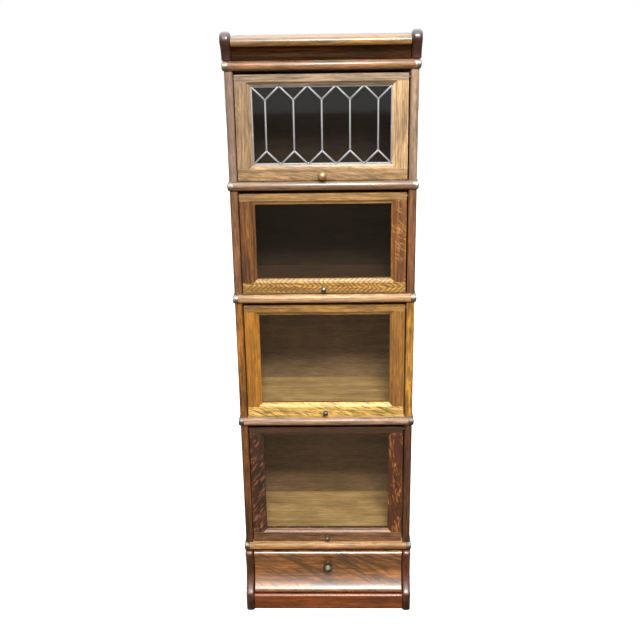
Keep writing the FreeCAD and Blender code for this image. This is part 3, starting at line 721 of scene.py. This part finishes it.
STILE_WIDTH = 37 * MM
TOP_RAIL_WIDTH = 27 * MM
BOTTOM_RAIL_WIDTH = 37 * MM
STICKING_WIDTH = 9.5 * MM   # the sloping inner edge
STICKING_DEPTH = 7 * MM
STICKING_STEP = 1.0 * MM    # where the slope starts, below the face
STICKING_SAG = 0.9 * MM
FILLET = 0.4 * MM
RABBET = 7 * MM             # where the glass lies
LIP = 9 * MM


def member_points(width, front, back):
    """Door member's section beyond its flat face, as (distance from the outer edge, y)."""
    face = width - STICKING_WIDTH
    points = [(face, front), (face + FILLET, front + STICKING_STEP)]
    steps = 6
    for i in range(1, steps):
        t = i / steps
        sag = STICKING_SAG * math.sin(math.pi * t)
        points.append((face + FILLET + t * (STICKING_WIDTH - 0.8 * MM) - 0.3 * sag,
                       front + STICKING_STEP + t * (STICKING_DEPTH - 1.6 * MM) + sag))
    points += [(width - FILLET, front + STICKING_DEPTH - 0.5 * MM),
               (width, front + STICKING_DEPTH),
               (width, front + LIP),
               (width - RABBET, front + LIP),
               (width - RABBET, back),
               (face, back)]
    return points


def door_member(width, meets, length, front, back, square_ends):
    """A rail (square ends) or a stile, along +X from 0 to length with its outer edge at z = 0.
    meets gives the widths of the members at its two ends."""
    bm = bmesh.new()
    points = member_points(width, front, back)
    face = width - STICKING_WIDTH
    rings = []
    for start, turn, meet in ((0, 1, meets[0]), (length, -1, meets[1])):
        shoulder = (meet - STICKING_WIDTH) if square_ends else 0
        rings.append([bm.verts.new((start + turn * (shoulder + max(0, d - face)), y, d))
                      for d, y in points])
    outer = [[bm.verts.new((x, y, 0)) for y in (back, front)] for x in (0, length)]
    for i in range(len(points) - 1):
        bm.faces.new((rings[0][i], rings[0][i + 1], rings[1][i + 1], rings[1][i]))
    if square_ends:
        corners = [[bm.verts.new((x, y, face)) for y in (front, back)] for x in (0, length)]
        for ring, corner, edge in zip(rings, corners, outer):
            bm.faces.new(ring)
            bm.faces.new((corner[0], corner[1], ring[-1], ring[0]))
            bm.faces.new((corner[0], corner[1], edge[0], edge[1]))
        front_loop = (outer[0][1], corners[0][0], rings[0][0], rings[1][0], corners[1][0],
                      outer[1][1])
        back_loop = (outer[0][0], corners[0][1], rings[0][-1], rings[1][-1], corners[1][1],
                     outer[1][0])
    else:
        for ring, edge in zip(rings, outer):
            bm.faces.new(ring + edge)
        front_loop = (outer[0][1], rings[0][0], rings[1][0], outer[1][1])
        back_loop = (outer[0][0], rings[0][-1], rings[1][-1], outer[1][0])
    bm.faces.new(front_loop)
    bm.faces.new(back_loop)
    bm.faces.new((outer[0][0], outer[0][1], outer[1][1], outer[1][0]))
    bmesh.ops.recalc_face_normals(bm, faces=bm.faces)
    return bm


def door(number):
    """Rails as long as the door is wide, with the stiles standing between them."""
    name = "door%d" % number
    low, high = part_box(name + "_rails")
    for turn, width, word in ((1, BOTTOM_RAIL_WIDTH, "bottom"), (-1, TOP_RAIL_WIDTH, "top")):
        bm = door_member(width, (STILE_WIDTH, STILE_WIDTH), high.x - low.x, low.y, high.y, True)
        edge = low.z if turn > 0 else high.z
        bm.transform(Matrix(((1, 0, 0, low.x), (0, 1, 0, 0), (0, 0, turn, edge), (0, 0, 0, 1))))
        bmesh.ops.recalc_face_normals(bm, faces=bm.faces)
        wooden("%s_rail_%s" % (name, word), bm, OAKS[number, "rail_" + word], ("x", "y"), name,
               [name + "_rails"], rounding=0.35 * MM)
    bottom = low.z + BOTTOM_RAIL_WIDTH - STICKING_WIDTH
    length = high.z - TOP_RAIL_WIDTH + STICKING_WIDTH - bottom
    for side, word in ((1, "left"), (-1, "right")):
        bm = door_member(STILE_WIDTH, (BOTTOM_RAIL_WIDTH, TOP_RAIL_WIDTH), length, low.y, high.y,
                         False)
        edge = low.x if side > 0 else high.x
        bm.transform(Matrix(((0, 0, side, edge), (0, 1, 0, 0), (1, 0, 0, bottom), (0, 0, 0, 1))))
        bmesh.ops.recalc_face_normals(bm, faces=bm.faces)
        wooden("%s_stile_%s" % (name, word), bm, OAKS[number, "stile_" + word], ("z", "y"), name,
               [name + "_stiles"], rounding=0.35 * MM)
    for node, material in ((name + "_glass", GLASS), (name + "_pivot_carriage", STEEL)):
        materials = frame["nodes"][node].data.materials
        materials.clear()
        materials.append(material)
    stops(number)
    finish = (BRASS, "brass_knob") if number == LEADED_DOOR else (BRONZE, "bronze_knob")
    knob(name + "_pull", name + "_knob", low.y, *finish, name)


def stops(number):
    """Four strips behind the glass."""
    name = "door%d" % number
    low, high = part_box(name + "_glass_stops")
    left, right = low.x, high.x - RABBET
    bottom, top = low.z, high.z - RABBET
    strips = {
        "left": ((left, low.y, low.z), (left + RABBET, high.y, high.z), "z"),
        "right": ((right, low.y, low.z), (right + RABBET, high.y, high.z), "z"),
        "bottom": ((left + RABBET, low.y, bottom), (right, high.y, bottom + RABBET), "x"),
        "top": ((left + RABBET, low.y, top), (right, high.y, top + RABBET), "x"),
    }
    for word, (corner, opposite, along) in strips.items():
        wooden("%s_stop_%s" % (name, word), block(corner, opposite), OAKS[number, "stile_left"],
               (along, "y"), name, [name + "_glass_stops"], rounding=0.5 * MM)


SHANK_RADIUS = 2.4 * MM
COLLAR = ((0.66, 0), (0.68, 0.05), (0.68, 0.12), (0.60, 0.16), (0.46, 0.20), (0.40, 0.28))
BALL_STEPS = 16


def knob(name, node, surface, material, slot, body):
    """Turned knob with a stepped collar, a neck and a ball. The collar's radii and heights are
    shares of the ball's radius, and its last one is the neck."""
    low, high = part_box(node)
    x, z = (low.x + high.x) / 2, (low.z + high.z) / 2
    ball = (high.x - low.x) / 2
    centre = low.y + ball
    profile = [(0, high.y), (SHANK_RADIUS, high.y), (SHANK_RADIUS, surface)]
    profile += [(radius * ball, surface - rise * ball) for radius, rise in COLLAR]
    start = math.degrees(math.asin(COLLAR[-1][0]))
    for i in range(BALL_STEPS + 1):
        a = math.radians(start + (180 - start) * i / BALL_STEPS)
        profile.append((ball * math.sin(a) if i < BALL_STEPS else 0, centre + ball * math.cos(a)))
    add_piece(name, turned(profile, x, z), material, body, [node])


# ---- leaded glass ----

COLUMNS = 5
ARM_SHARE = 0.175           # an arm's rise, over the glass's height
CAME_WIDTH = 4.4 * MM
BORDER_WIDTH = 7 * MM
BORDER_THINNER = 0.98       # keeps the border's faces off the lattice's
CROWN_OF_CAME = 0.30


def came_lines():
    """The lattice's centre lines: an upright in each of five columns, with arms to its corners."""
    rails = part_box("door%d_rails" % LEADED_DOOR)
    left, right = rails[0].x + STILE_WIDTH, rails[1].x - STILE_WIDTH
    low, high = rails[0].z + BOTTOM_RAIL_WIDTH, rails[1].z - TOP_RAIL_WIDTH
    column = (right - left) / COLUMNS
    arm = ARM_SHARE * (high - low)
    lines = []
    joints = []
    for index in range(COLUMNS):
        x = left + (index + 0.5) * column
        upper, lower = (x, high - arm), (x, low + arm)
        lines.append((lower, upper))
        joints += [upper, lower]
        for side in (-column / 2, column / 2):
            lines.append((upper, (x + side, high)))
            lines.append((lower, (x + side, low)))
            joints += [(x + side, high), (x + side, low)]
    inset = 0.2 * MM
    corners = [(left + inset, low + inset), (right - inset, low + inset),
               (right - inset, high - inset), (left + inset, high - inset)]
    borders = list(zip(corners, corners[1:] + corners[:1]))
    return lines, borders, joints, (left, right, low, high)


def came_strip(bm, start, end, width, thickness, middle):
    """One rounded strip of came about the glass's middle plane, with both faces crowned."""
    a, b = Vector((start[0], 0, start[1])), Vector((end[0], 0, end[1]))
    along = (b - a).normalized()
    across = along.cross(Vector((0, 1, 0)))
    section = []
    steps = 6
    for face in (-1, 1):
        for i in range(steps + 1):
            t = -1 + 2 * i / steps
            bulge = 1 - CROWN_OF_CAME + CROWN_OF_CAME * math.sqrt(max(0, 1 - t * t))
            section.append((-face * t * width / 2, face * thickness * bulge))
    rings = []
    for point in (a, b):
        rings.append([bm.verts.new(point + across * s + Vector((0, middle + d, 0)))
                      for s, d in section])
    bm.faces.new(rings[0])
    bm.faces.new(rings[1])
    skin(bm, *rings)


def lead_lattice():
    """Came lattice with its border and a flat drop of solder on every joint."""
    low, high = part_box("door%d_lead_came" % LEADED_DOOR)
    middle = (low.y + high.y) / 2
    thickness = (high.y - low.y) / 2
    inset = 2 * MM
    lines, borders, joints, (left, right, bottom, top) = came_lines()
    bm = bmesh.new()
    for start, end in lines:
        came_strip(bm, start, end, CAME_WIDTH, thickness, middle)
    for start, end in borders:
        came_strip(bm, start, end, BORDER_WIDTH, thickness * BORDER_THINNER, middle)
    for x, z in sorted(set((round(x, 6), round(z, 6)) for x, z in joints)):
        inside_x = min(max(x, left + inset), right - inset)
        inside_z = min(max(z, bottom + inset), top - inset)
        size = random.uniform(3.2, 3.9) * MM
        bmesh.ops.create_uvsphere(
            bm, u_segments=16, v_segments=10, radius=1,
            matrix=Matrix.Translation((inside_x, middle, inside_z))
            @ Matrix.Diagonal((size, thickness, size, 1)))
    bmesh.ops.recalc_face_normals(bm, faces=bm.faces)
    add_piece("door1_came_lattice", bm, CAME, "door1", ["door1_lead_came"])


# ---- base, drawer and crown ----

HOLLOW_RADIUS = 90 * MM     # of the scrolled fronts
NOTCH_OUT = 10 * MM         # a notch for a joint band is cut this far beyond the side's face

# Noses and feet of the scrolls: (y, z) from the case's front plane and the floor.
END_NOSE, END_NOSE_RADIUS = (-4 * MM, 166 * MM), 12 * MM
END_FOOT, END_FOOT_RADIUS = (-19 * MM, 46 * MM), 15 * MM
DRAWER_NOSE, DRAWER_FOOT = (-1 * MM, 165 * MM), (-16 * MM, 58 * MM)
DRAWER_RADIUS = 9 * MM


def bearing(centre, point):
    return math.degrees(math.atan2(point[1] - centre[1], point[0] - centre[0]))


def scroll(nose, nose_radius, foot, foot_radius, inset=0):
    """Front outline from the top of a rounded nose, through a hollow, to the front of a foot.
    Centres are (y, z) with y from the case's front plane."""
    nose = (FRONT + nose[0], nose[1])
    foot = (FRONT + foot[0], foot[1])
    span = math.dist(nose, foot)
    to_nose = HOLLOW_RADIUS + nose_radius
    to_foot = HOLLOW_RADIUS + foot_radius
    reach = (to_nose ** 2 - to_foot ** 2 + span ** 2) / (2 * span)
    height = math.sqrt(to_nose ** 2 - reach ** 2)
    unit = ((foot[0] - nose[0]) / span, (foot[1] - nose[1]) / span)
    hollow = (nose[0] + reach * unit[0] + height * unit[1],
              nose[1] + reach * unit[1] - height * unit[0])
    points = arc(nose, nose_radius - inset, 90, bearing(nose, hollow) % 360, 12)
    points += arc(hollow, HOLLOW_RADIUS + inset, bearing(hollow, nose), bearing(hollow, foot),
                  24)[1:-1]
    points += arc(foot, foot_radius - inset, bearing(foot, hollow) % 360, 180, 8)
    return points


def bullnosed(outline, side, inner, outer, rounding):
    """A board between two distances from the middle plane, whose edges round over to both faces.
    outline(inset, outside) gives its (y, z) outline drawn in by an inset."""
    steps = 6
    turns = [math.pi / 2 * i / steps for i in range(steps + 1)]
    shrink = [(rounding * (1 - math.cos(a)), rounding * (1 - math.sin(a))) for a in turns]
    stations = [(inner + depth, inset, False) for depth, inset in shrink]
    stations += [(outer - depth, inset, True) for depth, inset in reversed(shrink)]
    bm = bmesh.new()
    rings = [[bm.verts.new((side * x, y, z)) for y, z in outline(inset, outside)]
             for x, inset, outside in stations]
    for near, far in zip(rings, rings[1:]):
        skin(bm, near, far)
    bm.faces.new(rings[0])
    bm.faces.new(rings[-1])
    bmesh.ops.remove_doubles(bm, verts=bm.verts, dist=SAME_PLACE)
    bmesh.ops.dissolve_degenerate(bm, edges=bm.edges, dist=SAME_PLACE)
    bmesh.ops.recalc_face_normals(bm, faces=bm.faces)
    return bm


def base():
    for side, word in SIDES:
        node = "base_side_" + word
        low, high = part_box(node)
        nose_top = 178 * MM
        notch_depth = 4.5 * MM

        def outline(inset, outside):
            points = scroll(END_NOSE, END_NOSE_RADIUS, END_FOOT, END_FOOT_RADIUS, inset)
            return points + [(low.y + inset, 0), (high.y, 0), (high.y, high.z), (FRONT, high.z),
                             (FRONT, nose_top - inset)]

        bm = bullnosed(outline, side, INSIDE, INSIDE + high.x - low.x, 8 * MM)
        notch = side_box(side, HALF, HALF + NOTCH_OUT, (FRONT - CUT_PAST, REAR + CUT_PAST),
                         (high.z - notch_depth, high.z + CUT_PAST))
        wooden("base_end_" + word, bm, OAKS["base_end"], ("z", "x"), "case", [node], rounding=0,
               cuts=[notch])
    low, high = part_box("base_plinth")
    rounding = 8 * MM
    outline = [(high.y, high.z), (high.y, 0), (low.y, 0)]
    outline += arc((low.y + rounding, high.z - rounding), rounding, 180, 90, 8)
    wooden("base_plinth_board", prism(outline, "x", low.x, high.x), OAKS["plinth"], ("x", "y"),
           "case", ["base_plinth"])
    back_board("base", lowest("back_panels").z, FLOORS[4], "back_dim", ("x", "y"))
    whole_board("base_deck", "dim", ("x", "z"), "case")
    low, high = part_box("drawer_runners")
    width = 15 * MM
    for side, word in SIDES:
        corners = side_box(side, high.x - width, high.x, (low.y, high.y), (low.z, high.z))
        wooden("base_runner_" + word, block(*corners), OAKS["dim"], ("y", "z"), "case",
               ["drawer_runners"], rounding=0.6 * MM)


def drawer():
    low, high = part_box("drawer_front")
    outline = scroll(DRAWER_NOSE, DRAWER_RADIUS, DRAWER_FOOT, DRAWER_RADIUS)
    outline += arc((FRONT + DRAWER_FOOT[0], DRAWER_FOOT[1]), DRAWER_RADIUS, 180, 270, 8)[1:]
    outline += [(high.y, low.z), (high.y, high.z)]
    wooden("drawer_front_board", prism(outline, "x", low.x, high.x), OAKS["drawer_front"],
           ("x", "y"), "drawer", ["drawer_front"], rounding=1.2 * MM)
    low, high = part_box("drawer_sides")
    thickness = 12 * MM
    for side, word in SIDES:
        corners = side_box(side, high.x - thickness, high.x, (low.y, high.y), (low.z, high.z))
        wooden("drawer_side_board_" + word, block(*corners), OAKS["warm"], ("y", "x"), "drawer",
               ["drawer_sides"])
    whole_board("drawer_back", "warm", ("x", "y"), "drawer")
    whole_board("drawer_bottom", "warm", ("x", "z"), "drawer", rounding=0.4 * MM)
    knob_low, knob_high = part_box("drawer_knob")
    knob_depth = 2.3            # in radii of its ball
    surface = knob_low.y + knob_depth * (knob_high.x - knob_low.x) / 2
    knob("drawer_pull", "drawer_knob", surface, BRONZE, "bronze_knob", "drawer")


def arc_through(a, b, c, steps):
    """Points from a to c on the circle through b."""
    d = 2 * (a[0] * (b[1] - c[1]) + b[0] * (c[1] - a[1]) + c[0] * (a[1] - b[1]))
    squares = [p[0] ** 2 + p[1] ** 2 for p in (a, b, c)]
    x = (squares[0] * (b[1] - c[1]) + squares[1] * (c[1] - a[1]) + squares[2] * (a[1] - b[1])) / d
    y = (squares[0] * (c[0] - b[0]) + squares[1] * (a[0] - c[0]) + squares[2] * (b[0] - a[0])) / d
    start, middle, end = [bearing((x, y), p) for p in (a, b, c)]
    turn = (end - start) % 360
    if (middle - start) % 360 > turn:
        turn = -((start - end) % 360)
    return arc((x, y), math.dist((x, y), a), start, start + turn, steps)


def at_crown(y, z):
    """A (y, z) point, from millimetres behind the front plane and above the crown's joint."""
    return (FRONT + y * MM, CROWN_FLOOR + z * MM)


EAR = (-8.5, 65.0)          # centre of the crown end's ear, mm from the front plane and the joint
EAR_RADIUS = 18.5
EAR_BLEND = 12.0            # where the ear runs out on the flat top
SCROLL_START = -4.0
CLEAR_LEVEL = 19.0          # above the metal band


def crown_outline(inset, outside, top):
    """Crown end's outline: a hollow, a round ear and the flat behind it, drawn in by an inset.
    Its top edge stays square beside the top board."""
    across, up = EAR[0] - SCROLL_START, EAR[1] - CLEAR_LEVEL
    hollow_radius = (across ** 2 + up ** 2 - EAR_RADIUS ** 2) / (2 * (EAR_RADIUS - across))
    hollow = (SCROLL_START - hollow_radius, CLEAR_LEVEL)
    blend_rise = top + EAR_BLEND - EAR[1]
    blend = (EAR[0] + math.sqrt((EAR_RADIUS + EAR_BLEND) ** 2 - blend_rise ** 2),
             top + EAR_BLEND)
    foot = max(0, SCROLL_START + inset)
    points = [(foot, 0), (foot, CLEAR_LEVEL)]
    points += arc(hollow, hollow_radius + inset, 0, bearing(hollow, EAR), 14)
    points += arc(EAR, EAR_RADIUS - inset, bearing(EAR, hollow) % 360, bearing(EAR, blend), 26)[1:]
    points += arc(blend, EAR_BLEND + inset, bearing(blend, EAR) % 360, 270, 6)[1:]
    flat = top - inset if outside else top
    points.append((blend[0], flat))
    back = (REAR - FRONT) / MM
    return [at_crown(y, z) for y, z in points + [(back, flat), (back, 0)]]


def crown():
    top = (highest("crown_top_board").z - CROWN_FLOOR) / MM
    for side, word in SIDES:
        node = "crown_end_" + word
        low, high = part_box(node)
        bm = bullnosed(lambda inset, outside: crown_outline(inset / MM, outside, top), side,
                       INSIDE, INSIDE + high.x - low.x, 9 * MM)
        notch = side_box(side, HALF, HALF + NOTCH_OUT, (FRONT - NOTCH_OUT, REAR + CUT_PAST),
                         (low.z - CUT_PAST, low.z + CLEAR_LEVEL * MM))
        wooden("crown_scroll_" + word, bm, OAKS["crown_end"], ("y", "x"), "case", [node],
               rounding=0, cuts=[notch])
    low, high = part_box("crown_cove")
    fillet_level = 18
    outline = [(high.y, low.z), (FRONT, low.z), at_crown(0, fillet_level),
               at_crown(-3, fillet_level)]
    outline += arc_through(at_crown(-3, 28), at_crown(-3.6, 40), at_crown(-9, 49), 14)
    outline += [(high.y, high.z)]
    # The cove takes the oak with painted shade in its colour.
    wooden("crown_cove_moulding", prism(outline, "x", low.x, high.x), OAKS["crown_cove"],
           ("x", "y"), "case", ["crown_cove"], rounding=0.4 * MM)
    low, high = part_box("crown_top_board")
    radius = (high.z - low.z) / 2
    outline = [(high.y, high.z), (high.y, low.z)]
    outline += arc((low.y + radius, low.z + radius), radius, 270, 90, 12)
    wooden("crown_top_panel", prism(outline, "x", low.x, high.x), OAKS["crown"], ("x", "z"),
           "case", ["crown_top_board"], rounding=0.4 * MM)
    front_rail("crown_half_round", CROWN_FLOOR, OAKS["crown_rail"], "crown_front_rail")
    back_board("crown", CROWN_FLOOR, highest("back_panels").z, "back_dim", ("x", "y"))


# ---- camera, floor and light ----

CAMERA_LENS = 49.7
CAMERA_DISTANCE = 2.130     # from the front plane
CAMERA_RIGHT = 0.042
CAMERA_HEIGHT = 1.580
CAMERA_ANGLES = (18.82, -1.45, -0.87)       # down, right and anticlockwise, in degrees


def camera():
    """Standing eye level, a little right of the middle, looking down at the front."""
    data = bpy.data.cameras.new("camera")
    data.lens = CAMERA_LENS
    data.clip_start = 0.05
    eye = linked("camera", data)
    eye.location = (CAMERA_RIGHT, FRONT - CAMERA_DISTANCE, CAMERA_HEIGHT)
    pitch, yaw, roll = (math.radians(a) for a in CAMERA_ANGLES)
    turn = (Matrix.Rotation(-yaw, 3, "Z") @ Matrix.Rotation(math.pi / 2 - pitch, 3, "X")
            @ Matrix.Rotation(roll, 3, "Z"))
    eye.rotation_euler = turn.to_euler()
    bpy.context.scene.camera = eye


FLOOR_HALF = 14
FLOOR_CLOUDS = (3, 3, 3)
FLOOR_BOUNCE = (0.22, 0.17, 0.12)           # what the floor sends back up to the object
FLOOR_GLOW = 0.5


def floor():
    """Pale floor, kept near white so that only the soft shadow round the foot shows."""
    bm = bmesh.new()
    bmesh.ops.create_grid(bm, x_segments=1, y_segments=1, size=FLOOR_HALF)
    ground = mesh_object("floor", bm)
    n = Nodes(bpy.data.materials.new("pale_floor"))
    ray = n.add("ShaderNodeLightPath")
    cloud = n.noise(n.place(), FLOOR_CLOUDS, detail=3)
    pale = n.ramp(cloud, (0.3, 0.84), (0.7, 0.88))
    seen = ray.outputs["Is Camera Ray"]
    colour = n.mix(n.maths("SUBTRACT", 1.0, seen), pale, FLOOR_BOUNCE)
    glow = n.times(seen, FLOOR_GLOW)
    ground.data.materials.append(n.surface(
        Base_Color=colour, Roughness=0.9, Specular_IOR_Level=0.1, Emission_Color=WHITE,
        Emission_Strength=glow))


def lights():
    """A key lamp high in front, and a room whose ceiling is brighter than its walls."""
    data = bpy.data.lights.new("ceiling_front", "AREA")
    data.shape = "RECTANGLE"
    data.size, data.size_y = 0.8, 0.35
    data.energy = 150
    data.color = (1.0, 0.95, 0.88)
    lamp = linked("ceiling_front", data)
    lamp.location = (0.2, -2.42, 2.86)
    aim = Vector((0, 0, 0.8)) - lamp.location
    lamp.rotation_euler = aim.to_track_quat("-Z", "Y").to_euler()

    world = bpy.data.worlds.new("studio")
    bpy.context.scene.world = world
    n = Nodes(world, "World")
    seen = n.add("ShaderNodeLightPath")
    parts = n.add("ShaderNodeSeparateXYZ")
    n.feed(parts.inputs[0], n.add("ShaderNodeTexCoord").outputs["Generated"])
    height = n.add("ShaderNodeMapRange")
    height.inputs["From Min"].default_value = -1
    n.feed(height.inputs["Value"], parts.outputs["Z"])

    def sky(*stops, warmth=1.0):
        """Brightness by height: stops are (rise, grey), from -1 straight down to 1 straight up."""
        return n.ramp(height.outputs[0], *[
            ((rise + 1) / 2, (grey, warmth * grey, warmth ** 2 * grey)) for rise, grey in stops])

    lit = sky((-0.05, 0.15), (0.4, 0.35), (0.7, 1.6), warmth=0.98)
    mirrored = sky((-0.35, 0.02), (-0.1, 0.9), (0.3, 1.2), (0.6, 3.2), (0.9, 4.4))
    both = n.mix(seen.outputs["Is Glossy Ray"], lit, mirrored)
    background = n.add("ShaderNodeBackground")
    n.feed(background.inputs["Color"], n.mix(seen.outputs["Is Camera Ray"], both, WHITE))
    n.feed(n.output.inputs["Surface"], background.outputs[0])
    bpy.context.scene.view_settings.view_transform = "Standard"


# ---- everything ----

base()
drawer()
for number in SECTIONS:
    section(number)
    door(number)
lead_lattice()
top_frames()
for joint in JOINTS:
    for side, word in SIDES:
        band(joint, side, word)
crown()
camera()
floor()
lights()
